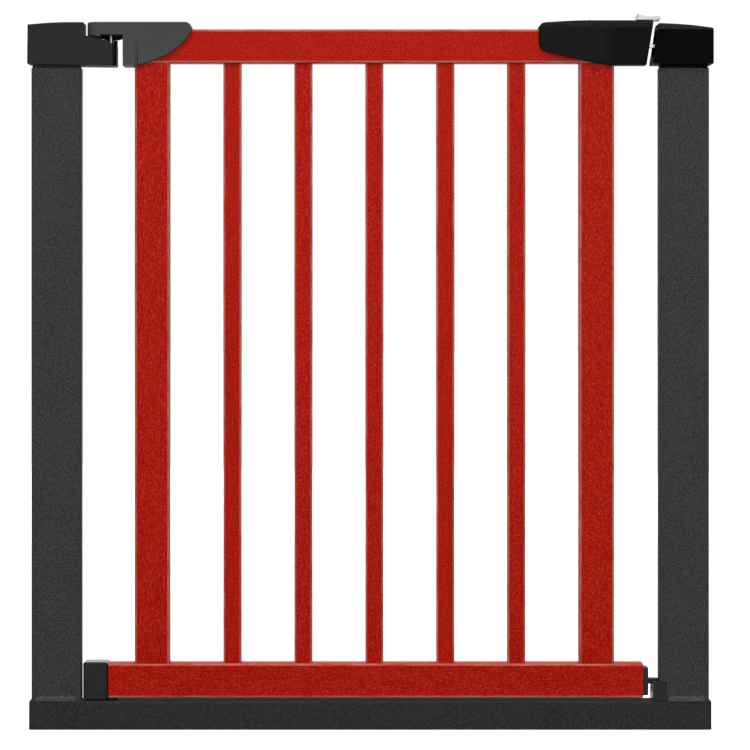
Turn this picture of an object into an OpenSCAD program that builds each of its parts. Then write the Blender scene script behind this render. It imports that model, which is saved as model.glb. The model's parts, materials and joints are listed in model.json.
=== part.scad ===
// Pressure-fit safety gate: a welded steel U-frame and a hinged wooden gate panel.
// +X runs from the hinge side to the lock side, -Y is the front, +Z is up.
// The origin is on the floor, midway between the posts.

/* [Frame] */
// Length of the bottom bar's tube, which is also the width over the posts
frame_w = 709; // [640:1:900]
// Height of the posts' top ends above the floor
post_top = 692; // [560:1:900]
// Width of a post, seen from the front
post_w = 52; // [48:0.5:56]
// Depth of a post, front to back
post_d = 20; // [18:0.5:21]
// Height of the bottom bar
bar_h = 30; // [26:1:36]
// Depth of the bottom bar, front to back
bar_d = 24; // [23:1:27]
// Wall thickness of the steel tubes
tube_wall = 1.5; // [1.2:0.1:2]
// Thickness of the flanges on the bar's end plugs
plug_flange = 2; // [1.5:0.5:2.5]

/* [Gate panel] */
// Thickness of the rails and stiles
wood_t = 18; // [15:0.5:18.5]
// Height of the bottom rail
rail_h = 36; // [34:0.5:40]
// Width of a stile, seen from the front
stile_w = 36.5; // [30:0.5:37]
// Width of a slat, seen from the front
slat_w = 19; // [16:0.5:28]
// Thickness of a slat
slat_t = 10; // [9:0.5:12]
// Distance between the middles of two slats
slat_pitch = 74.4; // [60:0.1:80]
// Gap between the bottom rail and the bottom bar
rail_gap = 3; // [3:0.5:4]

/* [Hinge and latch] */
// Depth of the hinge post cap
hinge_cap_d = 26; // [25:0.5:26]
// Depth of the gate's corner cap
corner_cap_d = 28; // [26:1:28]
// Depth of the handle
handle_d = 31; // [30:1:34]
// Depth of the lock post cap
lock_cap_d = 32; // [32:1:36]
// Diameter of the hinge pins
pin_dia = 5; // [4:0.5:5]
// Diameter of the holes that take the wall spindles
spindle_dia = 10.5; // [8:0.5:11]
// Way that the thumb slider travels to open
slider_travel = 13; // [12.5:0.5:13.5]
// Way that the gate lifts to clear its floor bracket
lift_travel = 10; // [10:0.5:12]

/* [Hidden] */
$fn = 48;
eps = 0.01;
fit = 0.1;
run = 0.05;
screw_r = 1.7;
screw_head_r = 3.6;
screw_head_h = 2;

// Fixed frame. A cap is measured from its post's inner edge and top end.
half_w = frame_w / 2;
lock_x = half_w - post_w;
hinge_x = 30.5 - lock_x;
cap_reach = half_w + 4;
cap_low = 4;
plug_depth = 24;
post_screw_z = post_top - 12;
spindle_top_z = 22;
spindle_low_z = 75;
bush_r = 7.5;
hinge_bush_r = 5;

// Wooden panel.
slat_count = 5;
panel_x = (hinge_x + lock_x) / 2 - 10.85;
stile_offset = (lock_x - hinge_x) / 2 - 54.65;
stile_x = panel_x + stile_offset;
rail_z = bar_h + rail_gap;
rail_top = rail_z + rail_h;
top_rail_z = post_top + 5;
top_rail_h = 35.5;
top_rail_x0 = hinge_x + 22;
top_rail_x1 = stile_x + stile_w / 2;
bottom_rail_x0 = hinge_x - 24;
bottom_rail_x1 = lock_x - 16.5;
tenon_l = 12;
slat_tenon_w = 13;
stile_tenon_w = 24;
stile_tenon_t = 8;

// Hinge side of the gate, from the hinge axis and the posts' top ends.
hinge_end = 6.6;
arm_z = 34.6;
knuckle_r = 24.5;
cap_top = 47.7;
corner_screws = [[36, 31], [60, 31]];

// Lock side of the gate, from the lock post's inner edge and top end.
handle_top = 49.5;
front_low = 2.5;
rear_low = 4.5;
handle_screws_at = [[-98.5, 30], [-62.5, 30], [-30.5, 10]];
bolt_z = 21.3;
bolt_t = 3.4;
stem_x = -23.5;
stem_l = 6;
spring_r = 3.5;
spring_z = 37;

// Floor catch.
catch_half = 4;
bracket_screw_x = lock_x - 2.8;
bracket_screw_z = 41;
catch_screw_z = [rail_z + 8, rail_z + 26.5];
catch_plate_t = 5;

charcoal = "#34363a";
black = "#161617";
dark_grey = "#45464a";
wood_red = "#a3160f";
light_grey = "#cfcfca";
steel = "#b9bcc0";

// ---- outlines and placing ----

// Points on an arc about c, from angle a0 to a1 in n steps.
function arc(c, r, a0, a1, n = 5) =
    [for (i = [0:n]) c + r * [cos(a0 + (a1 - a0) * i / n), sin(a0 + (a1 - a0) * i / n)]];

// Points on a quadratic curve from p0 to p2, pulled towards p1.
function curve(p0, p1, p2, n = 8) =
    [for (i = [0:n]) let (t = i / n) (1 - t) * (1 - t) * p0 + 2 * t * (1 - t) * p1 + t * t * p2];

// Corners of a box outline from lo to hi with rounded corners.
function round_box(lo, hi, r) = concat(
    arc([hi.x - r, hi.y - r], r, 0, 90),
    arc([lo.x + r, hi.y - r], r, 90, 180),
    arc([lo.x + r, lo.y + r], r, 180, 270),
    arc([hi.x - r, lo.y + r], r, 270, 360));

// A plan outline x0 to x1 long and 2 * half_d deep, with corner radius r0 at x0 and r1 at x1.
function plan_ends(x0, x1, half_d, r0, r1) = concat(
    arc([x1 - r1, half_d - r1], r1, 0, 90),
    arc([x0 + r0, half_d - r0], r0, 90, 180),
    arc([x0 + r0, r0 - half_d], r0, 180, 270),
    arc([x1 - r1, r1 - half_d], r1, 270, 360));

// A round_box outline about the origin, w wide and h high.
function round_slab(w, h, r) = round_box([-w / 2, -h / 2], [w / 2, h / 2], r);

// Extrudes a front-view outline (X, Z) from y0 to y1.
module front_extrude(points, y0, y1) {
    translate([0, y1, 0])
        rotate([90, 0, 0])
            linear_extrude(height = y1 - y0)
                polygon(points);
}

// Extrudes a plan-view outline (X, Y) from z0 to z1.
module plan_extrude(points, z0, z1) {
    translate([0, 0, z0])
        linear_extrude(height = z1 - z0)
            polygon(points);
}

// Extrudes a side-view outline (Y, Z) from x0 to x1.
module side_extrude(points, x0, x1) {
    translate([x0, 0, 0])
        rotate([90, 0, 90])
            linear_extrude(height = x1 - x0)
                polygon(points);
}

// A box between two corners.
module span(lo, hi) {
    translate(lo)
        cube(hi - lo);
}

// Round bars or holes from a point, l long towards +X, +Y or +Z.
module rod_x(p, r, l) {
    translate(p)
        rotate([0, 90, 0])
            cylinder(r = r, h = l);
}

module rod_y(p, r, l) {
    translate(p)
        rotate([-90, 0, 0])
            cylinder(r = r, h = l);
}

module rod_z(p, r, l) {
    translate(p)
        cylinder(r = r, h = l);
}

// A pan-head screw: head above z = 0, shank l long below it, cross recess in the head.
module screw(l) {
    recess_w = 0.9;
    recess_l = 4;
    recess_h = 1.2;
    difference() {
        union() {
            cylinder(r = screw_head_r, h = screw_head_h);
            translate([0, 0, -l])
                cylinder(r = screw_r, h = l + eps);
        }
        translate([-recess_l / 2, -recess_w / 2, screw_head_h - recess_h])
            cube([recess_l, recess_w, screw_head_h]);
        translate([-recess_w / 2, -recess_l / 2, screw_head_h - recess_h])
            cube([recess_w, recess_l, screw_head_h]);
    }
}

// A screw driven from behind, with its head on the plane y = p.y.
module rear_screw(p, l) {
    translate(p)
        rotate([-90, 0, 0])
            screw(l);
}

// The hole for a rear screw: a counterbore that sinks the head, and the shank's way through.
module rear_screw_hole(x, z, back_y, depth, sink) {
    rod_y([x, back_y - depth, z], screw_r + fit, depth + 1);
    rod_y([x, back_y - sink, z], screw_head_r + fit, sink + 1);
}

// Wedges that chamfer the top edges, front and back, of a body half_d deep. The edge starts at p and
// runs l towards +X, falling by the angle. A chamfer is drop high and depth deep.
module top_wedges(p, angle, l, half_d, drop, depth) {
    over = 2;
    lean = depth * (drop + over) / drop;
    translate(p)
        rotate([0, angle, 0])
            for (side = [-1, 1])
                side_extrude([[side * half_d, -drop], [side * (half_d + over), -drop],
                    [side * (half_d + over), over], [side * (half_d - lean), over]], 0, l);
}

module at_hinge() {
    translate([hinge_x, 0, post_top])
        children();
}

module at_lock() {
    translate([lock_x, 0, post_top])
        children();
}

// ---- steel frame ----

module post(x0) {
    r = 2.5;
    mid_x = x0 + post_w / 2;
    outer = x0 < 0 ? x0 - 1 : mid_x;
    color(charcoal)
        difference() {
            translate([mid_x, 0, 0])
                plan_extrude(round_slab(post_w, post_d, r), bar_h, post_top);
            translate([mid_x, 0, 0])
                plan_extrude(round_slab(post_w - 2 * tube_wall, post_d - 2 * tube_wall, 1),
                    bar_h - 1, post_top + 1);
            rod_y([mid_x, 0, post_screw_z], screw_r + fit, post_d);
            rod_x([outer, 0, spindle_low_z], bush_r + fit, post_w / 2 + 1);
        }
}

module left_post() {
    post(-half_w);
}

module right_post() {
    post(lock_x);
}

module bottom_bar() {
    color(charcoal)
        difference() {
            translate([0, 0, bar_h / 2])
                side_extrude(round_slab(bar_d, bar_h, 2), -half_w, half_w);
            translate([0, 0, bar_h / 2])
                side_extrude(round_slab(bar_d - 2 * tube_wall, bar_h - 2 * tube_wall, 0.5),
                    -half_w - 1, half_w + 1);
            rod_z([hinge_x, 0, bar_h / 2], hinge_bush_r + fit, bar_h);
            rod_z([bracket_screw_x, 0, bar_h / 2], screw_r + fit, bar_h);
        }
}

// Fillet welds along the front and back of each post's foot.
module frame_welds() {
    leg = 2;
    rise = 4.5;
    inset = 4;
    bracket_room = 8.5;
    foot = post_d / 2;
    color(charcoal)
        for (side = [-1, 1]) {
            bead = [[side * foot, bar_h], [side * (foot + leg), bar_h], [side * foot, bar_h + rise]];
            side_extrude(bead, -half_w + inset, -lock_x - inset);
            side_extrude(bead, lock_x + bracket_room, half_w - inset);
        }
}

module bar_end_plugs() {
    plug_l = 12;
    core_d = bar_d - 2 * (tube_wall + fit);
    core_h = bar_h - 2 * (tube_wall + fit);
    color(black)
        for (m = [0, 1])
            mirror([m, 0, 0])
                translate([half_w, 0, bar_h / 2]) {
                    side_extrude(round_slab(bar_d, bar_h, 2), 0, plug_flange);
                    side_extrude(round_slab(core_d, core_h, 1), -plug_l, eps);
                }
}

// Collar and hollow plug that hold a cap in a post's open top. The post's middle is x = 0.
module cap_plug() {
    wall = 3;
    gap = 0.2;
    collar_inset = 1;
    collar_top = 6;
    core_w = post_w - 2 * (tube_wall + gap);
    core_d = post_d - 2 * (tube_wall + gap);
    difference() {
        union() {
            plan_extrude(round_slab(core_w, core_d, 1), -plug_depth, eps);
            plan_extrude(round_slab(post_w - 2 * collar_inset, post_d - 2 * collar_inset, 2), 0, collar_top);
        }
        plan_extrude(round_slab(core_w - 2 * wall, core_d - 2 * wall, 1), -plug_depth - 1, collar_top + 1);
        rod_y([0, 0, post_screw_z - post_top], screw_r + fit, post_d);
    }
}

// Hollow inside a cap, above its plug and open to it. The post's middle is x = 0.
module cap_hollow(x0, x1, half_d) {
    wall = 3;
    span([x0, -half_d + wall, 7], [x1, half_d - wall, 41]);
    span([x0, -3, 5], [x1, 3, 8]);
}

// Height of the hinge cap's sloping top, x from the hinge axis. It falls towards the gate.
slope_x0 = -22;
function slope_z(x) = 33.2 - 0.23 * (x - slope_x0) - 0.0038 * pow(x - slope_x0, 2);

// Lip along the back of the slope that closes the view past the pin. The knuckle's rim passes over it.
module rear_lip(half_d) {
    lip_t = 3;
    lip_x = -12;
    under = 12;
    radii = [9, 12, 15, 18];
    crest = [for (r = radii) [r, slope_z(-r)]];
    intersection() {
        rotate_extrude()
            polygon(concat([[radii[0], under]], crest, [[radii[3], under]]));
        span([lip_x, half_d - lip_t, 0], [hinge_end, half_d, 60]);
    }
}

module hinge_post_cap() {
    half_d = hinge_cap_d / 2;
    mid_x = (half_w + lock_x) / -2 - hinge_x;
    outer_x = -cap_reach - hinge_x;
    drop_x = -27.4;
    high_z = 47.5;
    corner_r = 1;
    outer_r = 1.5;
    arm_r = 4.6;
    low_arm = 2;
    low_outer = 4.2;
    steps = 8;
    slope = [for (i = [0:steps]) let (x = slope_x0 + (hinge_end - slope_x0) * i / steps) [x, slope_z(x)]];
    outline = concat(
        curve([hinge_end, low_arm], [-28, low_arm], [outer_x, low_outer]),
        curve([outer_x + 0.5, 45], [outer_x + 26, high_z], [outer_x + 44, high_z]),
        arc([drop_x - corner_r, high_z - corner_r], corner_r, 90, 0),
        [[drop_x, slope_z(slope_x0) + 0.4]],
        slope);
    spindle_depth = 18;
    color(black)
        at_hinge()
            difference() {
                union() {
                    intersection() {
                        union() {
                            front_extrude(outline, -half_d, half_d);
                            rear_lip(half_d);
                        }
                        plan_extrude(plan_ends(outer_x, hinge_end, half_d, outer_r, arm_r), -10, 60);
                    }
                    translate([mid_x, 0, 0])
                        cap_plug();
                }
                translate([mid_x, 0, 0])
                    cap_hollow(-10, 21, half_d);
                rod_x([outer_x - 1, 0, spindle_top_z], spindle_dia / 2, spindle_depth + 1);
                rod_z([0, 0, 5], pin_r + run, 40);
            }
}

module lock_post_cap() {
    half_d = lock_cap_d / 2;
    base_x = -7.9;
    outer_x = cap_reach - lock_x;
    mid_x = post_w / 2;
    top_z = 46.5;
    outer_r = 1.5;
    outline = concat(
        [[base_x, cap_low], [outer_x, cap_low]],
        arc([outer_x - 1, 40.6], 1, 0, 80),
        curve([outer_x - 2.5, 41.9], [outer_x - 26, 45.8], [-0.9, top_z]),
        [[-1.9, top_z - 1.8]]);
    spindle_depth = 18;
    relief_t = 2.4;
    relief = [[-12, 13], [-0.6, 13], [3.3, 38.5], [-12, 38.5]];
    color(black)
        at_lock()
            difference() {
                union() {
                    intersection() {
                        front_extrude(outline, -half_d, half_d);
                        plan_extrude(plan_ends(base_x - 2, outer_x, half_d, 2, outer_r), -10, 60);
                    }
                    translate([mid_x, 0, 0])
                        cap_plug();
                }
                span([base_x - 5, -pocket_half, pocket_z0], [pocket_x, pocket_half, pocket_z1]);
                translate([mid_x, 0, 0])
                    cap_hollow(-12, 9, half_d);
                rod_x([outer_x - spindle_depth, 0, spindle_top_z], spindle_dia / 2, spindle_depth + 1);
                front_extrude(relief, -half_d - 1, -half_d + relief_t);
                front_extrude(relief, half_d - relief_t, half_d + 1);
                top_wedges([-6, 0, top_z + 0.6], 4.2, 70, half_d, 6, 3);
            }
}

// Keeper pocket in the lock post cap.
pocket_x = 9.5;
pocket_half = 12;
pocket_z0 = 13;
pocket_z1 = 39;

// Steel strike plate across the keeper pocket, slotted for the bolt.
module keeper_plate() {
    plate_x = 2.5;
    plate_t = 2;
    slot_half = 6.6;
    slot_gap = 2;
    color(steel)
        at_lock()
            difference() {
                span([plate_x, -pocket_half, pocket_z0], [plate_x + plate_t, pocket_half, pocket_z1]);
                span([plate_x - 1, -slot_half, bolt_z - slot_gap],
                    [plate_x + plate_t + 1, slot_half, bolt_z + bolt_t + lift_travel + slot_gap]);
            }
}

module post_cap_screws() {
    color(steel)
        for (x = [-half_w, lock_x])
            rear_screw([x + post_w / 2, post_d / 2, post_screw_z], 6);
}

// Sleeves in the posts' outer sides that guide the lower wall spindles.
module lower_spindle_bushes() {
    body_l = 20;
    color(black)
        for (m = [0, 1])
            mirror([m, 0, 0])
                translate([half_w, 0, spindle_low_z])
                    difference() {
                        rod_x([-body_l, 0, 0], bush_r, body_l);
                        rod_x([-body_l - 1, 0, 0], spindle_dia / 2, body_l + 2);
                    }
}

module lower_hinge_bush() {
    flange_r = 7;
    flange_t = 1.2;
    depth = 10;
    color(black)
        translate([hinge_x, 0, bar_h])
            difference() {
                union() {
                    cylinder(r = flange_r, h = flange_t);
                    rod_z([0, 0, -depth], hinge_bush_r, depth + eps);
                }
                rod_z([0, 0, -depth - 1], pin_r + run, depth + flange_t + 2);
            }
}

// Bracket that clips round the lock post's foot and takes the gate's catch in its slot.
module catch_bracket() {
    front_wall = 2.2;
    back_wall = 4;
    front_y = -post_d / 2 - front_wall;
    back_y = post_d / 2 + back_wall;
    x0 = lock_x - 7.2;
    x1 = lock_x + 7.2;
    top = bar_h + 20.4;
    slot = catch_half + 0.6;
    slot_z = bar_h + 8;
    color(black)
        difference() {
            span([x0, front_y, bar_h], [x1, back_y, top]);
            span([lock_x - fit, -post_d / 2 - fit, bar_h - 1], [x1 + 1, post_d / 2 + fit, top + 1]);
            span([x0 - 1, -slot, slot_z], [lock_x + 1, slot, top + 1]);
            rod_z([bracket_screw_x, 0, bar_h - 1], screw_r + fit, 10);
            rod_z([bracket_screw_x, 0, slot_z - 2.5], 2.4, 5);
            rod_y([lock_x + 3.5, post_d / 2, bracket_screw_z], screw_r + fit, 10);
        }
}

module bracket_screws() {
    head_r = 2.2;
    head_z = bar_h + 5.6;
    color(steel) {
        difference() {
            union() {
                rod_z([bracket_screw_x, 0, bar_h - 8], screw_r, head_z - bar_h + 8 + eps);
                rod_z([bracket_screw_x, 0, head_z], head_r, 1.8);
            }
            span([bracket_screw_x - 1.3, -0.4, head_z + 1], [bracket_screw_x + 1.3, 0.4, head_z + 3]);
        }
        rear_screw([lock_x + 3.5, post_d / 2 + 4, bracket_screw_z], 3.8);
    }
}

// ---- hinge pins ----

pin_r = pin_dia / 2;

module upper_hinge_pin() {
    color(steel)
        at_hinge()
            rod_z([0, 0, 6], pin_r, 39);
}

module lower_hinge_pin() {
    collar_r = 4.5;
    below = 18;
    color(steel)
        translate([hinge_x, 0, bar_h]) {
            rod_z([0, 0, -below], pin_r, below + rail_gap + 24);
            rod_z([0, 0, 1.6], collar_r, 1);
        }
}

// ---- wooden panel ----

function slat_x(i) = panel_x + (i - (slat_count + 1) / 2) * slat_pitch;

// Mortises in a rail, from z0 to z1, for every slat and stile.
module mortises(z0, z1) {
    for (i = [1:slat_count])
        span([slat_x(i) - slat_tenon_w / 2, -slat_t / 2, z0], [slat_x(i) + slat_tenon_w / 2, slat_t / 2, z1]);
    for (side = [-1, 1])
        translate([panel_x + side * stile_offset, 0, 0])
            span([-stile_tenon_w / 2, -stile_tenon_t / 2, z0], [stile_tenon_w / 2, stile_tenon_t / 2, z1]);
}

// An upright from rail to rail with a tenon at each end.
module upright(x, w, t, tenon_w, tenon_t) {
    color(wood_red)
        union() {
            span([x - w / 2, -t / 2, rail_top], [x + w / 2, t / 2, top_rail_z]);
            span([x - tenon_w / 2, -tenon_t / 2, rail_top - tenon_l],
                [x + tenon_w / 2, tenon_t / 2, top_rail_z + tenon_l]);
        }
}

module top_rail() {
    color(wood_red)
        difference() {
            span([top_rail_x0, -wood_t / 2, top_rail_z], [top_rail_x1, wood_t / 2, top_rail_z + top_rail_h]);
            mortises(top_rail_z - 1, top_rail_z + tenon_l);
            for (p = corner_screws)
                rod_y([hinge_x + p.x, -4, post_top + p.y], screw_r + fit, wood_t);
            for (i = [0, 1])
                rod_y([lock_x + handle_screws_at[i].x, -wood_t, post_top + handle_screws_at[i].y],
                    screw_r + fit, 2 * wood_t);
        }
}

module bottom_rail() {
    r = 4.5;
    outline = concat(
        [[bottom_rail_x0, rail_z], [bottom_rail_x1, rail_z]],
        arc([bottom_rail_x1 - r, rail_top - r], r, 0, 90),
        [[bottom_rail_x0, rail_top]]);
    color(wood_red)
        difference() {
            front_extrude(outline, -wood_t / 2, wood_t / 2);
            mortises(rail_top - tenon_l, rail_top + 1);
            rod_z([hinge_x, 0, rail_z - 1], 4 + fit, 26.5);
            for (z = catch_screw_z)
                rod_x([bottom_rail_x1 - 14, 0, z], screw_r + fit, 20);
        }
}

module left_stile() {
    upright(panel_x - stile_offset, stile_w, wood_t, stile_tenon_w, stile_tenon_t);
}

module right_stile() {
    upright(stile_x, stile_w, wood_t, stile_tenon_w, stile_tenon_t);
}

module slat(i) {
    if (i <= slat_count)
        upright(slat_x(i), slat_w, slat_t, slat_tenon_w, slat_t);
}

// ---- gate fittings, hinge side ----

module rail_hinge_sleeve() {
    color(steel)
        translate([hinge_x, 0, rail_z])
            difference() {
                cylinder(r = 4, h = 25);
                rod_z([0, 0, -1], pin_r + run, 27);
            }
}

// Where the knuckle's parts hang: the rim under them clears the post cap's slope at every angle.
module knuckle_ring() {
    rim_gap = 0.5;
    rim = [for (r = [6, 10, 14, 18, 22]) [r, slope_z(-r) + rim_gap]];
    rotate_extrude()
        polygon(concat([[6, arm_z]], rim, [[knuckle_r, 34.1], [knuckle_r, arm_z]]));
}

// The knuckle's plan, with an oval nose towards the post.
module knuckle_plan(z0, z1) {
    half_d = corner_cap_d / 2;
    nose = [-knuckle_r, 0];
    plan_extrude(concat(
        curve([-12, -half_d], [-knuckle_r, -half_d], nose),
        curve(nose, [-knuckle_r, half_d], [-12, half_d]),
        [[20, half_d], [20, -half_d]]), z0, z1);
}

module knuckle() {
    tooth_x = -10.3;
    tooth_room = 10;
    intersection() {
        knuckle_plan(0, 60);
        union() {
            rod_z([0, 0, arm_z], knuckle_r, cap_top - arm_z);
            intersection() {
                translate([0, 0, eps])
                    knuckle_ring();
                span([-knuckle_r - 1, -corner_cap_d / 2, 0], [tooth_x, tooth_room, 60]);
            }
        }
    }
}

// Block under the knuckle: a web beside the pin and a skirt behind it.
left_x = 13.5;

module hinge_block() {
    web_x = 7;
    web_half = 5;
    skirt_y = 10;
    color(black)
        at_hinge()
            intersection() {
                knuckle_ring();
                knuckle_plan(0, 60);
                union() {
                    span([web_x, -web_half, 0], [left_x, skirt_y + 1, 60]);
                    span([-knuckle_r - 1, skirt_y, 0], [left_x, 20, 60]);
                }
            }
}

module gate_corner_cap() {
    half_d = corner_cap_d / 2;
    outline = concat(
        [[left_x, 2], [28.5, 2]],
        curve([31, 3], [74.2, 14.6], [85.4, 39.2]),
        arc([78.5, cap_top - 7], 7, 10, 90),
        [[0, cap_top], [0, arm_z], [left_x, arm_z]]);
    stile_x0 = panel_x - stile_offset - stile_w / 2 - hinge_x;
    rail_x0 = top_rail_x0 - hinge_x;
    beyond = 100;
    groove_x = 27.2;
    groove_w = 1;
    groove_t = 0.6;
    color(dark_grey)
        at_hinge()
            difference() {
                union() {
                    front_extrude(outline, -half_d, half_d);
                    knuckle();
                }
                span([rail_x0, -wood_t / 2, 5], [beyond, wood_t / 2, 5 + top_rail_h]);
                span([stile_x0, -wood_t / 2, -1], [beyond, wood_t / 2, 6]);
                rod_z([0, 0, 10], pin_r + run, 35.5);
                for (y = [-half_d - 1, half_d - groove_t])
                    span([groove_x, y, 1], [groove_x + groove_w, y + groove_t + 1, 26]);
                for (p = corner_screws)
                    rear_screw_hole(p.x, p.y, half_d, half_d, screw_head_h + 0.5);
            }
}

module corner_cap_screws() {
    color(steel)
        for (p = corner_screws)
            rear_screw([hinge_x + p.x, corner_cap_d / 2 - screw_head_h - 0.5, post_top + p.y], 13);
}

// Plastic shoe over the bottom rail's hinge end.
module hinge_end_cap() {
    x0 = hinge_x - 28.6;
    x1 = hinge_x - 1.8;
    wall = 1.5;
    half_d = wood_t / 2 + 1.7;
    nose_r = 4.5;
    color(black)
        difference() {
            intersection() {
                front_extrude(round_box([x0, rail_z - wall], [x1, rail_top + wall], 3), -half_d, half_d);
                plan_extrude(plan_ends(x0, x1, half_d, nose_r, 2), 0, rail_top + 10);
            }
            span([bottom_rail_x0, -wood_t / 2, rail_z], [0, wood_t / 2, rail_top]);
            rod_z([hinge_x, 0, rail_z - wall - 1], 5, wall + 2);
        }
}

// ---- gate fittings, lock side ----

// The handle's outer form, with its lower edge at height low.
module handle_body(low) {
    half_d = handle_d / 2;
    nose_x = -126.5;
    nose_r = 5;
    outline = concat(
        [[-14.2, low], [-50.7, low], [-70.5, low + 3]],
        curve([-118.5, 16.8], [-126.4, 19], [-126.4, 27]),
        curve([-126.4, 39], [-126.4, 47.6], [-118, 47.6]),
        curve([-112.5, 47.8], [-92.5, handle_top], [-73.5, handle_top]),
        arc([-7.6, handle_top - 1], 1, 90, 10));
    difference() {
        intersection() {
            front_extrude(outline, -half_d, half_d);
            plan_extrude(plan_ends(nose_x, -4, half_d, nose_r, 1), -10, 60);
        }
        top_wedges([-73.5, 0, handle_top], 0, 80, half_d, 5.5, 3);
        top_wedges([-130, 0, handle_top - 2.2], -2.2, 56.54, half_d, 5.5, 3);
    }
}

// Spaces inside the handle: the wood, the bolt's chamber, its ways out and the screws.
module handle_hollow() {
    rail_end = top_rail_x1 - lock_x;
    stile_x0 = stile_x - stile_w / 2 - lock_x;
    back = handle_d / 2;
    before = -150;
    span([before, -wood_t / 2, 5], [rail_end, wood_t / 2, 5 + top_rail_h]);
    span([stile_x0, -wood_t / 2, 0], [rail_end, wood_t / 2, 6]);
    span([rail_end + 1, -8, 18], [-15.5, 8, 46]);
    span([-20, -6.3, bolt_z - 0.3], [0, 6.3, bolt_z + bolt_t + 0.3]);
    span([stem_x - slider_travel - 0.5, -4.5, 45], [stem_x + stem_l + 0.5, 4.5, 60]);
    for (p = handle_screws_at)
        rear_screw_hole(p.x, p.y, back, back + 9, screw_head_h + 0.5);
}

module handle_front_shell() {
    color(black)
        at_lock()
            difference() {
                handle_body(front_low);
                handle_hollow();
                span([-150, 0, -20], [10, 40, 80]);
            }
}

module handle_rear_shell() {
    color(black)
        at_lock()
            difference() {
                handle_body(rear_low);
                handle_hollow();
                span([-150, -40, -20], [10, 0, 80]);
            }
}

module handle_screws() {
    color(steel)
        for (p = handle_screws_at)
            rear_screw([lock_x + p.x, handle_d / 2 - screw_head_h - 0.5, post_top + p.y], 20);
}

// Plate on the bottom rail's end with the arm that hooks into the floor bracket.
module catch_plate() {
    arm_z0 = bar_h + 17;
    arm_t = 5.8;
    hook_x = lock_x - 4.5;
    tip_x = lock_x - 1;
    hook_z = bar_h + 11;
    mid_z = rail_z + rail_h / 2 - 1;
    plate_h = 29.5;
    color(black)
        difference() {
            union() {
                translate([bottom_rail_x1, 0, mid_z])
                    side_extrude(round_slab(wood_t, plate_h, 3), 0, catch_plate_t);
                span([bottom_rail_x1 + 1, -catch_half, arm_z0], [tip_x, catch_half, arm_z0 + arm_t]);
                span([hook_x, -catch_half, hook_z], [tip_x, catch_half, arm_z0 + 1]);
            }
            for (z = catch_screw_z) {
                rod_x([bottom_rail_x1 - 1, 0, z], screw_r + fit, catch_plate_t + 2);
                rod_x([bottom_rail_x1 + catch_plate_t - screw_head_h - 0.3, 0, z], screw_head_r + fit, 4);
            }
        }
}

module catch_plate_screws() {
    shank = 14;
    color(steel)
        for (z = catch_screw_z)
            translate([bottom_rail_x1 + catch_plate_t - screw_head_h - 0.3, 0, z])
                rotate([0, 90, 0])
                    screw(shank);
}

// ---- slider and bolt ----

module thumb_slider() {
    half_d = 11;
    base_z = handle_top + 0.5;
    x0 = -23.9;
    x1 = 0.7;
    outline = concat(
        [[x0, base_z], [x1, base_z], [x1, base_z + 3.2], [x1 - 0.6, base_z + 3.9], [-7.5, base_z + 4.2]],
        curve([-12.5, base_z + 4.4], [-19.5, base_z + 4.8], [-20.7, base_z + 6.4], 4),
        [[-22.5, base_z + 6.6], [x0 + 0.6, base_z + 5.4]]);
    color(light_grey)
        at_lock()
            union() {
                intersection() {
                    front_extrude(outline, -half_d, half_d);
                    plan_extrude(round_box([x0, -half_d], [x1, half_d], 3), 40, 60);
                }
                span([stem_x, -4, bolt_z + bolt_t], [stem_x + stem_l, 4, base_z + eps]);
            }
}

module latch_bolt() {
    x0 = -31.5;
    x1 = 7;
    half_d = 6;
    nose = 2;
    color(steel)
        at_lock()
            plan_extrude([[x0, -half_d], [x1 - nose, -half_d], [x1, -half_d + nose],
                [x1, half_d - nose], [x1 - nose, half_d], [x0, half_d]], bolt_z, bolt_z + bolt_t);
}

// Return spring, held as the sleeve that its coil fills, between the chamber's end and the stem.
module slider_spring() {
    x0 = top_rail_x1 + 1.2 - lock_x;
    l = stem_x - 0.2 - x0;
    color(steel)
        at_lock()
            difference() {
                rod_x([x0, 0, spring_z], spring_r, l);
                rod_x([x0 - 1, 0, spring_z], spring_r - 1, l + 2);
            }
}

left_post();
right_post();
bottom_bar();
frame_welds();
bar_end_plugs();
hinge_post_cap();
lock_post_cap();
keeper_plate();
post_cap_screws();
lower_spindle_bushes();
lower_hinge_bush();
catch_bracket();
bracket_screws();
upper_hinge_pin();
lower_hinge_pin();
top_rail();
bottom_rail();
left_stile();
right_stile();
slat(1);  // slat_1
slat(2);  // slat_2
slat(3);  // slat_3
slat(4);  // slat_4
slat(5);  // slat_5
rail_hinge_sleeve();
gate_corner_cap();
hinge_block();
corner_cap_screws();
hinge_end_cap();
handle_front_shell();
handle_rear_shell();
handle_screws();
catch_plate();
catch_plate_screws();
thumb_slider();
latch_bolt();
slider_spring();
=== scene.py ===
"""Looks of the safety gate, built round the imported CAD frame.

Lengths in the pieces' helpers are in millimetres, those of the camera, lights and floor in metres.
"""

import json
import math
import random

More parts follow.
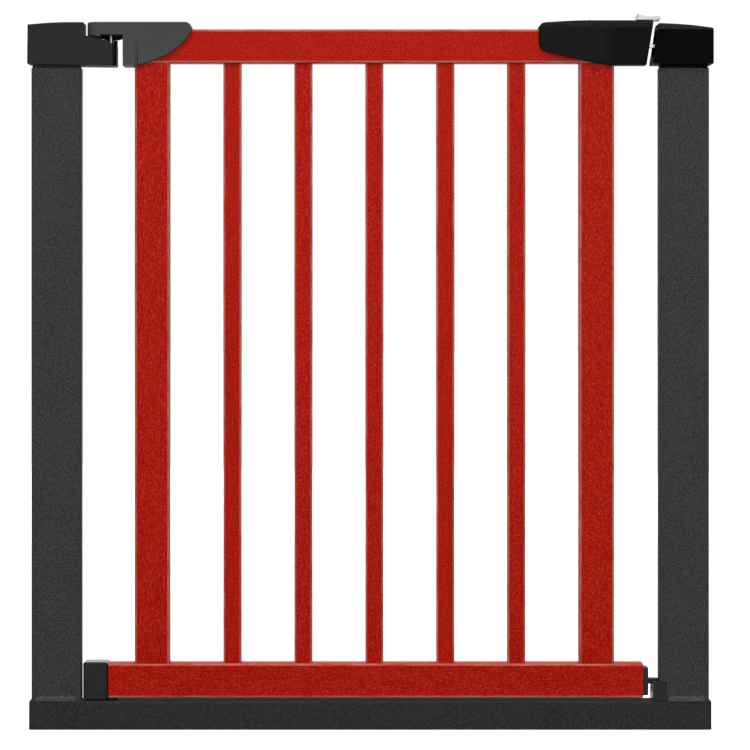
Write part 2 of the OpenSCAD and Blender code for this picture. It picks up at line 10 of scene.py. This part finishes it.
import bmesh
import bpy
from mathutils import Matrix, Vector


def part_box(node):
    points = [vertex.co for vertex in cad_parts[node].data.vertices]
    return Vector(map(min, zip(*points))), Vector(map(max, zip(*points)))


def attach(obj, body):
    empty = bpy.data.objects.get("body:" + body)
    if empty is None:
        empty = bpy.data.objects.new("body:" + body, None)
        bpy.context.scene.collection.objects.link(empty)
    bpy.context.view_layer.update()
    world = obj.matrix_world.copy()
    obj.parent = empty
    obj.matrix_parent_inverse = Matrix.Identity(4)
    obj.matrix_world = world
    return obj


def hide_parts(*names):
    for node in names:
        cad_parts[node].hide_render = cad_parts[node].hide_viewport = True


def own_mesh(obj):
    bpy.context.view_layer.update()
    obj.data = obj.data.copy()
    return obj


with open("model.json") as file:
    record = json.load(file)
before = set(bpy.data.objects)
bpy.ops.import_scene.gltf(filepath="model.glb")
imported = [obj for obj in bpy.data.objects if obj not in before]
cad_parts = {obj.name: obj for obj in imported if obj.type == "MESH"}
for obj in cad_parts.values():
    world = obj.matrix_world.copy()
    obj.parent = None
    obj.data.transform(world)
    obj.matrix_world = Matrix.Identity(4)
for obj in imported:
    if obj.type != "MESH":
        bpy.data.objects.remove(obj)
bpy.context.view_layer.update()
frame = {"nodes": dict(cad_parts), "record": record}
MM = 0.001
rng = random.Random(7)
BODY_OF = {n: body for body, names in frame["record"]["behaviour"]["bodies"].items() for n in names}


# ---- the frame's measures ----


def node_box(node):
    """A CAD node's low and high corners in millimetres."""
    lo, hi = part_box(node)
    return lo / MM, hi / MM


# ---- materials ----


class Nodes:
    """A material's node tree with short ways to add what the materials here need."""

    def __init__(self, name, rough, specular=0.5, metallic=0.0):
        self.material = bpy.data.materials.new(name)
        self.material.use_nodes = True
        self.tree = self.material.node_tree
        self.shader = self.tree.nodes["Principled BSDF"]
        self.shader.inputs["Roughness"].default_value = rough
        self.shader.inputs["Specular IOR Level"].default_value = specular
        self.shader.inputs["Metallic"].default_value = metallic
        self.height = None

    def add(self, kind, **values):
        node = self.tree.nodes.new(kind)
        for key, value in values.items():
            setattr(node, key, value)
        return node

    def link(self, a, b):
        self.tree.links.new(a, b)

    def coords(self, stretch=(1, 1, 1), attribute=None):
        """Object coordinates, or a stored attribute, with each axis scaled."""
        if attribute:
            source = self.add("ShaderNodeAttribute", attribute_name=attribute).outputs["Vector"]
        else:
            source = self.add("ShaderNodeTexCoord").outputs["Object"]
        mapping = self.add("ShaderNodeMapping")
        mapping.inputs["Scale"].default_value = stretch
        self.link(source, mapping.inputs["Vector"])
        return mapping.outputs["Vector"]

    def noise(self, where, scale, detail=3, rough=0.55, distortion=0.0):
        """Noise from 0 to 1, with its scale in features per metre."""
        node = self.add("ShaderNodeTexNoise")
        node.inputs["Scale"].default_value = scale
        node.inputs["Detail"].default_value = detail
        node.inputs["Roughness"].default_value = rough
        node.inputs["Distortion"].default_value = distortion
        self.link(where, node.inputs["Vector"])
        return node.outputs["Fac"]

    def remap(self, value, low, high, to_low=0.0, to_high=1.0):
        node = self.add("ShaderNodeMapRange")
        node.inputs["From Min"].default_value = low
        node.inputs["From Max"].default_value = high
        node.inputs["To Min"].default_value = to_low
        node.inputs["To Max"].default_value = to_high
        self.link(value, node.inputs["Value"])
        return node.outputs["Result"]

    def blend(self, factor, a, b):
        """Colour a to colour b; each is a tuple or a socket."""
        node = self.add("ShaderNodeMix", data_type="RGBA")
        self.link(factor, node.inputs[0])
        for socket, colour in ((node.inputs[6], a), (node.inputs[7], b)):
            if isinstance(colour, tuple):
                socket.default_value = (*colour, 1)
            else:
                self.link(colour, socket)
        return node.outputs[2]

    def colour(self, socket):
        self.link(socket, self.shader.inputs["Base Color"])

    def roughness(self, value, low, high):
        """Roughness from low to high over the middle range of a noise."""
        self.link(self.remap(value, 0.3, 0.7, low, high), self.shader.inputs["Roughness"])

    def moulded_grain(self, rough):
        """The fine spark-eroded grain of a plastic moulding, in roughness and in relief."""
        size_mm, depth_mm, spread = 0.5, 0.03, 0.06
        grain = self.noise(self.coords(), 1 / (size_mm * MM), 2, 0.6)
        self.roughness(grain, rough - spread, rough + spread)
        self.bump(grain, depth_mm, 0.6)

    def flow(self, dark, light):
        """Slow changes of tone along x, as melted plastic leaves them."""
        marks = self.noise(self.coords((0.35, 1, 1)), 28, 2, 0.5, 0.4)
        return self.blend(self.remap(marks, 0.3, 0.7), dark, light)

    def axes(self):
        """Object coordinates as separate X, Y and Z sockets."""
        split = self.add("ShaderNodeSeparateXYZ")
        self.link(self.coords(), split.inputs[0])
        return split.outputs

    def step(self, value, at, half_width_mm):
        """0 below at, 1 above it, with a ramp half_width_mm wide on each side."""
        return self.remap(value, at - half_width_mm * MM, at + half_width_mm * MM)

    def bump(self, height, distance_mm, strength=1.0):
        """Adds a bump on top of the bumps so far."""
        node = self.add("ShaderNodeBump")
        node.inputs["Distance"].default_value = distance_mm * MM
        node.inputs["Strength"].default_value = strength
        self.link(height, node.inputs["Height"])
        if self.height is not None:
            self.link(self.height, node.inputs["Normal"])
        self.height = node.outputs["Normal"]
        self.link(self.height, self.shader.inputs["Normal"])


def powder_coat(name, lift):
    """Charcoal powder coat: coarse orange peel, fine speckle and slow changes of tone. The lift
    scales all its tones."""
    n = Nodes(name, rough=0.75, specular=0.08)
    where = n.coords()
    peel = n.noise(where, 620, 3, 0.7)
    speck = n.noise(where, 1000, 2, 0.7)
    cloud = n.noise(n.coords((1, 1, 0.5)), 26, 4, 0.6)
    low = tuple(lift * c for c in (0.019, 0.0192, 0.0198))
    high = tuple(lift * c for c in (0.03, 0.0302, 0.0308))
    grain = tuple(lift * c for c in (0.068, 0.0684, 0.069))
    spark = tuple(lift * c for c in (0.12, 0.1204, 0.121))
    tone = n.blend(n.remap(cloud, 0.3, 0.7), low, high)
    coarse = n.blend(n.remap(peel, 0.4, 0.64), tone, grain)
    n.colour(n.blend(n.remap(speck, 0.56, 0.72, 0, 0.85), coarse, spark))
    n.roughness(peel, 0.68, 0.82)
    n.bump(peel, 0.18, 0.7)
    n.bump(speck, 0.04, 0.5)
    return n.material


def moulded(name, dark, light, rough, specular):
    """Moulded plastic: a fine grain and slight flow marks."""
    n = Nodes(name, rough=rough, specular=specular)
    n.colour(n.flow(dark, light))
    n.moulded_grain(rough)
    return n.material


def charcoal_cap():
    """Charcoal plastic like the other caps, with painted shade on the end of the hinge arm, which
    turns away from the light.
    """
    n = Nodes("charcoal_cap_plastic", rough=0.7, specular=0.08)
    shell = n.flow((0.018, 0.018, 0.0184), (0.021, 0.021, 0.0214))
    # Painted shade: from 5 mm past the pin's low side, the arm's end is painted near black for the
    # shade on its turned-away face.
    pin_mm = 5
    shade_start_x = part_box("upper_hinge_pin")[0].x + pin_mm * MM
    end_shade = n.step(n.axes()["X"], shade_start_x, 0.4)
    n.colour(n.blend(end_shade, shell, (0.0015, 0.0015, 0.0016)))
    n.moulded_grain(0.7)
    return n.material


def painted_light_black(name, node, highlight_mm, near, far, highlight_tone, specular):
    """Black plastic with a painted highlight, a paler band along its top. Below it the tone runs
    from near to far along x, which is painted shade where far is the darker."""
    n = Nodes(name, rough=0.7, specular=specular)
    lo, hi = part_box(node)
    axes = n.axes()
    # Painted shade: from 60 % of the part's length the tone goes from near to far.
    along = n.step(axes["X"], lo.x + 0.6 * (hi.x - lo.x), 8)
    # Painted highlight: the band along the top is paler.
    level = n.step(axes["Z"], hi.z - highlight_mm * MM, 0.4)
    n.colour(n.blend(level, n.blend(along, (near,) * 3, (far,) * 3), (highlight_tone,) * 3))
    n.moulded_grain(0.7)
    return n.material


def gloss_black():
    """Polished black plastic with faint handling haze."""
    n = Nodes("gloss_black_plastic", rough=0.14, specular=0.1)
    haze = n.noise(n.coords(), 90, 4, 0.6)
    n.colour(n.blend(n.remap(haze, 0.35, 0.65), (0.011, 0.011, 0.0105), (0.016, 0.016, 0.0155)))
    n.roughness(haze, 0.1, 0.2)
    n.bump(haze, 0.05, 0.15)
    return n.material


def metal(name, dark, light, rough, brushed=(1, 1, 1)):
    """Plated or polished steel with fine turning marks."""
    n = Nodes(name, rough=rough, metallic=1.0)
    marks = n.noise(n.coords(brushed), 900, 3, 0.6)
    cloud = n.noise(n.coords(), 160, 3)
    n.colour(n.blend(n.remap(cloud, 0.3, 0.7), dark, light))
    n.roughness(marks, rough - 0.08, rough + 0.1)
    n.bump(marks, 0.02, 0.5)
    return n.material


def red_wood():
    """Red-stained wood under satin lacquer. The grain attribute runs along each stick, and the edge
    attribute marks the rounded corners, which get a painted highlight in pale red."""
    n = Nodes("red_wood", rough=0.42, specular=0.03)
    fibres = n.noise(n.coords((1, 1, 0.06), "grain"), 620, 5, 0.65, 0.25)
    figure = n.noise(n.coords((1, 1, 0.05), "grain"), 80, 3, 0.55, 0.5)
    mottle = n.noise(n.coords((1, 1, 0.6), "grain"), 800, 4, 0.75)
    pores = n.noise(n.coords((1, 1, 0.12), "grain"), 1100, 2, 0.6)
    base = n.blend(n.remap(figure, 0.3, 0.7), (0.41, 0.0045, 0.0006), (0.48, 0.0075, 0.0008))
    streaked = n.blend(n.remap(fibres, 0.42, 0.68, 0, 0.8), base, (0.58, 0.012, 0.003))
    dark = n.blend(n.remap(mottle, 0.34, 0.5, 0.85, 0), streaked, (0.27, 0.001, 0.0008))
    mixed = n.blend(n.remap(mottle, 0.52, 0.68, 0, 0.8), dark, (0.67, 0.066, 0.026))
    pored = n.blend(n.remap(pores, 0.6, 0.76, 0, 0.5), mixed, (0.18, 0.001, 0.001))
    # Painted highlight: the edge attribute blends in a patchy pale red where the eased edges would
    # catch the light.
    edge = n.add("ShaderNodeAttribute", attribute_name="edge").outputs["Fac"]
    patchy = n.noise(n.coords((1, 1, 0.3), "grain"), 120, 3)
    edge_highlight = n.add("ShaderNodeMath", operation="MULTIPLY")
    n.link(edge, edge_highlight.inputs[0])
    n.link(n.remap(patchy, 0.35, 0.6, 0.35, 0.95), edge_highlight.inputs[1])
    n.colour(n.blend(edge_highlight.outputs[0], pored, (0.6, 0.2, 0.16)))
    n.roughness(mottle, 0.34, 0.5)
    n.bump(fibres, 0.12, 0.5)
    n.bump(pores, 0.05, 0.4)
    return n.material


POWDER = powder_coat("powder_coat", 0.92)
# Painted shade: the bar takes the posts' powder coat at 0.6 of its tone instead of 0.92, for the
# weaker light low down by the floor.
SHADED_BAR_COAT = powder_coat("powder_coat_bar_shaded", 0.6)
# Painted light: the beads take the same powder coat at 1.5 of its tone, for the light their raised
# crests catch.
LIT_BEAD_COAT = powder_coat("powder_coat_bead_lit", 1.5)
BLACK = moulded("black_plastic", (0.0045, 0.0045, 0.005), (0.0085, 0.0085, 0.009), 0.7, 0.05)
# Painted shade: black plastic darkened far below the other blacks, standing for the shade in the
# pocket under the corner cap's arm.
SHADED_BLACK = moulded("shaded_black_plastic", (0.0015, 0.0015, 0.0016), (0.0026, 0.0026, 0.0027), 0.8, 0.02)
SATIN = moulded("satin_black_plastic", (0.006, 0.006, 0.006), (0.0095, 0.0095, 0.0095), 0.35, 0.12)
CAP = charcoal_cap()
# Handle: painted highlight along the top, and painted shade darkening the right end, whose front
# turns away from the light.
HANDLE = painted_light_black("handle_plastic", "handle_front_shell", 7.9, 0.0068, 0.0016, 0.0104, 0.05)
# Lock cap: painted highlight along the top; its black plastic is darkened below the other caps' as
# painted shade.
LOCK = painted_light_black("lock_cap_plastic", "lock_post_cap", 6.6, 0.0018, 0.0018, 0.0185, 0.02)
CHARCOAL = moulded("charcoal_plastic", (0.018, 0.018, 0.0184), (0.021, 0.021, 0.0214), 0.7, 0.08)
GREY = moulded("grey_plastic", (0.045, 0.045, 0.0462), (0.054, 0.054, 0.0552), 0.6, 0.15)
GLOSS = gloss_black()
PALE = moulded("light_grey_plastic", (0.66, 0.66, 0.615), (0.72, 0.72, 0.68), 0.35, 0.5)
WOOD = red_wood()
ZINC = metal("zinc_steel", (0.24, 0.245, 0.25), (0.34, 0.345, 0.35), 0.34)
PIN = metal("pin_steel", (0.12, 0.122, 0.125), (0.17, 0.172, 0.175), 0.26, (1, 1, 0.1))


# ---- making pieces ----


def piece(name, bm, material, nodes, bevel=None, sharp_deg=35):
    """A finished mesh object that stands for CAD nodes of one body and rides on it."""
    mesh = bpy.data.meshes.new(name)
    bmesh.ops.recalc_face_normals(bm, faces=bm.faces)
    bm.to_mesh(mesh)
    bm.free()
    made = bpy.data.objects.new(name, mesh)
    bpy.context.scene.collection.objects.link(made)
    if bevel:
        step = made.modifiers.new("soft_edges", "BEVEL")
        step.width = bevel * MM
        step.segments = 4
        step.limit_method = "WEIGHT"
        step.use_clamp_overlap = False
        step.miter_outer = "MITER_ARC"
        bpy.context.view_layer.update()
        graph = bpy.context.evaluated_depsgraph_get()
        made.data = bpy.data.meshes.new_from_object(made.evaluated_get(graph))
        made.modifiers.clear()
        bpy.data.meshes.remove(mesh)
        mesh = made.data
        mesh.name = name
    mesh.materials.clear()
    mesh.materials.append(material)
    mesh.shade_smooth()
    mesh.set_sharp_from_angle(angle=math.radians(sharp_deg))
    normals = made.modifiers.new("even_normals", "WEIGHTED_NORMAL")
    normals.keep_sharp = True
    normals.weight = 80
    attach(made, BODY_OF[nodes[0]])
    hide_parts(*nodes)
    return made


def skin(bm, rings):
    """Faces between neighbouring rings of corners, with both ends closed."""
    n = len(rings[0])
    for a, b in zip(rings, rings[1:]):
        for k in range(n):
            bm.faces.new((a[k], a[(k + 1) % n], b[(k + 1) % n], b[k]))
    bm.faces.new(rings[0])
    bm.faces.new(rings[-1])


def cad_copy(node):
    """A CAD node's mesh, welded and with its flat faces whole again."""
    bm = bmesh.new()
    bm.from_mesh(frame["nodes"][node].data)
    bmesh.ops.remove_doubles(bm, verts=bm.verts, dist=0.003 * MM)
    bmesh.ops.dissolve_limit(bm, angle_limit=math.radians(0.15), verts=bm.verts, edges=bm.edges)
    return bm


def softened(node, material, width, rule=None, turn_deg=40):
    """Stands for a CAD node with its outward edges rounded. The rule gives an edge's share of the
    width from its middle in millimetres and its two faces' normals."""
    bm = cad_copy(node)
    bm.normal_update()
    weight = bm.edges.layers.float.new("bevel_weight_edge")
    for edge in bm.edges:
        if len(edge.link_faces) != 2:
            continue
        if edge.calc_face_angle_signed(0) < math.radians(turn_deg):
            continue
        middle = (edge.verts[0].co + edge.verts[1].co) / 2 / MM
        normals = [f.normal for f in edge.link_faces]
        edge[weight] = rule(middle, normals) if rule else 1.0
    piece(node + "_soft", bm, material, [node], bevel=width)


# ---- camera, light and floor ----


def camera():
    """A level view from 2.5 m. The lens is shifted so that the picture's middle lies below it."""
    data = bpy.data.cameras.new("camera")
    data.sensor_width = 36
    data.lens = 114.33
    data.shift_x = 0.033
    data.shift_y = -0.1208
    data.clip_end = 60
    ob = bpy.data.objects.new("camera", data)
    ob.location = (-0.0209, -2.5, 0.4655)
    ob.rotation_euler = (math.radians(90), 0, 0)
    bpy.context.scene.collection.objects.link(ob)
    bpy.context.scene.camera = ob


def area(name, where, at, size, power, in_gloss=True):
    """A soft light that the camera doesn't see."""
    data = bpy.data.lights.new(name, "AREA")
    data.shape = "RECTANGLE"
    data.size, data.size_y = size
    data.energy = power
    ob = bpy.data.objects.new(name, data)
    ob.visible_camera = False
    ob.visible_glossy = in_gloss
    ob.location = where
    ob.rotation_euler = (Vector(at) - Vector(where)).to_track_quat("-Z", "Y").to_euler()
    bpy.context.scene.collection.objects.link(ob)


def ground():
    """A pale floor that lights nothing."""
    n = Nodes("floor", rough=0.8, specular=0.2)
    mottled = n.noise(n.coords(), 3, 2)
    n.colour(n.blend(mottled, (0.84, 0.84, 0.84), (0.87, 0.87, 0.87)))
    n.shader.inputs["Emission Color"].default_value = (1, 1, 1, 1)
    n.shader.inputs["Emission Strength"].default_value = 0.55
    n.bump(mottled, 0.2, 0.1)
    bm = bmesh.new()
    bmesh.ops.create_grid(bm, x_segments=8, y_segments=8, size=14)
    mesh = bpy.data.meshes.new("floor")
    bm.to_mesh(mesh)
    bm.free()
    mesh.materials.append(n.material)
    floor = bpy.data.objects.new("floor", mesh)
    floor.location.z = -0.0002
    floor.visible_diffuse = False
    bpy.context.scene.collection.objects.link(floor)
    return floor


def surround():
    """A white dome that is seen directly and in gloss, and neither lights nor shades."""
    glow = bpy.data.materials.new("surround")
    glow.use_nodes = True
    tree = glow.node_tree
    tree.nodes.remove(tree.nodes["Principled BSDF"])
    light = tree.nodes.new("ShaderNodeEmission")
    light.inputs["Color"].default_value = (1, 1, 1, 1)
    tree.links.new(light.outputs[0], tree.nodes["Material Output"].inputs["Surface"])
    bm = bmesh.new()
    bmesh.ops.create_icosphere(bm, subdivisions=5, radius=14)
    mesh = bpy.data.meshes.new("surround")
    bm.to_mesh(mesh)
    bm.free()
    mesh.materials.append(glow)
    dome = bpy.data.objects.new("surround", mesh)
    bpy.context.scene.collection.objects.link(dome)
    for flag in ("visible_diffuse", "visible_transmission", "visible_shadow"):
        setattr(dome, flag, False)
    return dome


def stage():
    """The floor, the dome and the soft lights."""
    floor = ground()
    dome = surround()
    world = bpy.data.worlds.new("world")
    bpy.context.scene.world = world
    world.use_nodes = True
    world.node_tree.nodes["Background"].inputs["Color"].default_value = (0.1, 0.1, 0.102, 1)
    data = bpy.data.lights.new("overhead", "SUN")
    data.energy = 1.7
    data.angle = math.radians(40)
    bpy.context.scene.collection.objects.link(bpy.data.objects.new("overhead", data))
    area("key", (-0.9, -1.7, 2.2), (0, 0, 0.6), (1.4, 1.2), 18)
    area("top_front", (0.3, -1.3, 2.6), (0, 0, 0.7), (2.6, 0.7), 13)
    area("front", (0.5, -3.3, 0.9), (0, 0, 0.4), (3.2, 1.8), 56)
    area("backdrop", (0, 2.6, 0.8), (0, 0, 0.5), (4.4, 1.7), 9)
    area("rear", (0.5, 3.3, 1.1), (0, 0, 0.4), (3.2, 1.8), 42, in_gloss=False)


# ---- wooden panel ----


def rounded_section(half_a, half_b, radius, steps=4, line=0.9):
    """Corner points of a rounded rectangle, each with its share of the edge's light line."""
    points = []
    for corner, (sa, sb) in enumerate(((1, 1), (-1, 1), (-1, -1), (1, -1))):
        ca = sa * (half_a - radius)
        cb = sb * (half_b - radius)
        turn = 90 * corner
        for i in range(-1, steps + 2):
            angle = math.radians(turn + 90 * min(max(i, 0), steps) / steps)
            a = ca + radius * math.cos(angle)
            b = cb + radius * math.sin(angle)
            if i in (-1, steps + 1):
                slide = math.radians(turn + (-90 if i < 0 else 180))
                a += line * math.cos(slide)
                b += line * math.sin(slide)
            turned = abs(math.sin(angle))
            points.append((a, b, turned if 0 <= i <= steps else 0.0))
    return points


def stick(name, lo, hi, axis, nodes, radius=1.6):
    """A planed stick from lo to hi along axis 0 or 2, with eased edges and a slight hand-sanded
    wave."""
    station_gap, sand_depth, sand_wave = 14, 0.06, 31
    other = 2 - axis
    mid = [(lo[i] + hi[i]) / 2 for i in range(3)]
    section = rounded_section((hi[other] - lo[other]) / 2, (hi[1] - lo[1]) / 2, radius)
    length = hi[axis] - lo[axis]
    count = max(8, round(length / station_gap))
    inset = radius * 0.7
    stations = [(0.0, inset), (inset, 0.0)]
    stations += [(inset + (length - 2 * inset) * i / count, 0.0) for i in range(1, count)]
    stations += [(length - inset, 0.0), (length, inset)]
    offset = Vector((rng.uniform(-9, 9), rng.uniform(-9, 9), rng.uniform(-9, 9)))
    wave = rng.uniform(0, 6)
    bm = bmesh.new()
    grain = bm.verts.layers.float_vector.new("grain")
    # The edge attribute says where the painted highlight goes: the rounded corners, and the ends in
    # full.
    edge = bm.verts.layers.float.new("edge")
    rings = []
    for along, shrink in stations:
        ring = []
        for a, b, rounding in section:
            sand = sand_depth * rounding * (1 + math.sin(along / sand_wave + wave + a))
            ka = max(0.0, abs(a) - shrink - sand) * (1 if a > 0 else -1)
            kb = max(0.0, abs(b) - shrink - sand) * (1 if b > 0 else -1)
            co = [0.0, mid[1] + kb, 0.0]
            co[axis] = lo[axis] + along
            co[other] = mid[other] + ka
            vert = bm.verts.new(Vector(co) * MM)
            vert[grain] = Vector((a, b, along)) * MM + offset
            vert[edge] = rounding if shrink == 0 else 1.0
            ring.append(vert)
        rings.append(ring)
    skin(bm, rings)
    piece(name, bm, WOOD, nodes, sharp_deg=50)


def panel():
    """The rails, then the stiles and slats, whose ends stand a little inside the rails."""
    for name in ("top_rail", "bottom_rail"):
        stick(name + "_wood", *node_box(name), 0, [name], radius=1.8)
    into_rail = 0.8
    low = node_box("bottom_rail")[1].z - into_rail
    high = node_box("top_rail")[0].z + into_rail
    for name in ["left_stile", "right_stile"] + [f"slat_{i}" for i in range(1, 6)]:
        lo, hi = node_box(name)
        is_stile = name.endswith("stile")
        sunk = 0.25 if is_stile else 0
        stick(
            name + "_wood",
            (lo.x, -hi.y + sunk, low),
            (hi.x, hi.y - sunk, high),
            2,
            [name],
            radius=1.6 if is_stile else 1.3,
        )


# ---- frame ----


def bead_rings(bm, x0, x1, face, side, z0):
    """The rings of one bead from x0 to x1 along the post's face on the given side. Each is a
    quarter of an oval whose heel lies inside the metal."""
    count, quarter = 46, 8
    across, tall, squareness = 2.8, 5.4, 0.8
    ripple_rate, wander_rate = 2.9, 0.7
    phase = rng.uniform(0, 6)
    rings = []
    for i in range(count + 1):
        t = i / count
        x = x0 + (x1 - x0) * t
        end = min(1.0, 4 * math.sqrt(max(0.0, t * (1 - t))))
        ripple = 0.1 * math.sin(ripple_rate * x + phase)
        wander = 0.12 * math.sin(wander_rate * x + 2 * phase)
        size = end * (1 + ripple + wander)
        ring = []
        for k in range(quarter + 1):
            angle = math.radians(90 * k / quarter)
            out = across * size * math.cos(angle) ** squareness
            up = tall * size * math.sin(angle) ** squareness
            lean = 0.35 * math.sin(ripple_rate * x + phase) * math.sin(2 * angle)
            point = Vector((x + lean, side * (face - 0.15 + out), z0 - 0.1 + up))
            ring.append(bm.verts.new(point * MM))
        heel = Vector((x, side * (face - 0.4), z0 - 0.2))
        ring.append(bm.verts.new(heel * MM))
        rings.append(ring)
    return rings


def beads():
    """Rippled weld beads where the posts stand on the bar."""
    lo, hi = node_box("frame_welds")
    face = node_box("left_post")[1].y
    end_gap, bracket_gap = 4, 8.5
    left_end = node_box("left_post")[1].x - end_gap
    right_start = node_box("right_post")[0].x + bracket_gap
    bm = bmesh.new()
    for x0, x1 in ((lo.x, left_end), (right_start, hi.x)):
        for side in (-1, 1):
            skin(bm, bead_rings(bm, x0, x1, face, side, lo.z))
    piece("weld_beads", bm, LIT_BEAD_COAT, ["frame_welds"], sharp_deg=70)


def steel_frame():
    """The posts, the bar and the welds between them."""
    for name, paint in (("left_post", POWDER), ("right_post", POWDER), ("bottom_bar", SHADED_BAR_COAT)):
        softened(name, paint, 0.5)
    beads()


# ---- fittings ----


def fittings():
    """The plastic caps, the shells, the latch, the pins and the screws."""
    softened("hinge_post_cap", CAP, 0.5)
    # The corner cap's pocket and groove, below its top and left of its web, keep sharp edges.
    lo, hi = node_box("gate_corner_cap")
    crisp_x, crisp_z = lo.x + 42, hi.z - 3
    softened("gate_corner_cap", GREY, 0.9,
             lambda m, n: 0.0 if m.x < crisp_x and m.z < crisp_z else 1.0)
    softened("lock_post_cap", LOCK, 0.6)
    # The hinge block sits in that pocket, so it takes the darkened black as painted shade.
    softened("hinge_block", SHADED_BLACK, None)
    softened("handle_front_shell", HANDLE, 0.8,
             lambda m, n: 1.0 if m.y < -1 else 0.0)
    softened("handle_rear_shell", HANDLE, 0.8,
             lambda m, n: 1.0 if m.y > 1 else 0.0)
    softened("hinge_end_cap", GLOSS, 1.2)
    softened("catch_plate", SATIN, 0.9)
    softened("catch_bracket", SATIN, 0.6)
    softened("bar_end_plugs", CHARCOAL, 0.5)
    softened("lower_spindle_bushes", BLACK, 0.4)
    softened("lower_hinge_bush", BLACK, 0.3)
    softened("thumb_slider", PALE, 0.6)
    softened("latch_bolt", ZINC, 0.4)
    softened("keeper_plate", POWDER, 0.3)
    for name in ("upper_hinge_pin", "lower_hinge_pin"):
        softened(name, PIN, 0.4)
    for name in ("post_cap_screws", "bracket_screws", "corner_cap_screws", "handle_screws",
                 "catch_plate_screws", "rail_hinge_sleeve"):
        softened(name, ZINC, 0.25)


def spring():
    """The slider's return spring, a real coil in the space that its CAD sleeve fills."""
    lo, hi = node_box("slider_spring")
    wire = 0.45
    radius = (hi.z - lo.z) / 2 - wire
    centre_z = (lo.z + hi.z) / 2
    turns = 11
    steps = 20 * turns
    around = 8
    start, end = lo.x + wire, hi.x - wire
    bm = bmesh.new()
    rings = []
    for i in range(steps + 1):
        t = i / steps
        angle = 2 * math.pi * turns * t
        ring = []
        for k in range(around):
            turn = 2 * math.pi * k / around
            r = radius + wire * math.cos(turn)
            x = start + (end - start) * t + wire * math.sin(turn)
            y, z = r * math.cos(angle), centre_z + r * math.sin(angle)
            ring.append(bm.verts.new(Vector((x, y, z)) * MM))
        rings.append(ring)
    skin(bm, rings)
    coil = piece("spring_coil", bm, ZINC, ["slider_spring"], sharp_deg=80)
    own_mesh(coil)


bpy.context.scene.view_settings.view_transform = "Standard"
camera()
stage()
panel()
steel_frame()
fittings()
spring()
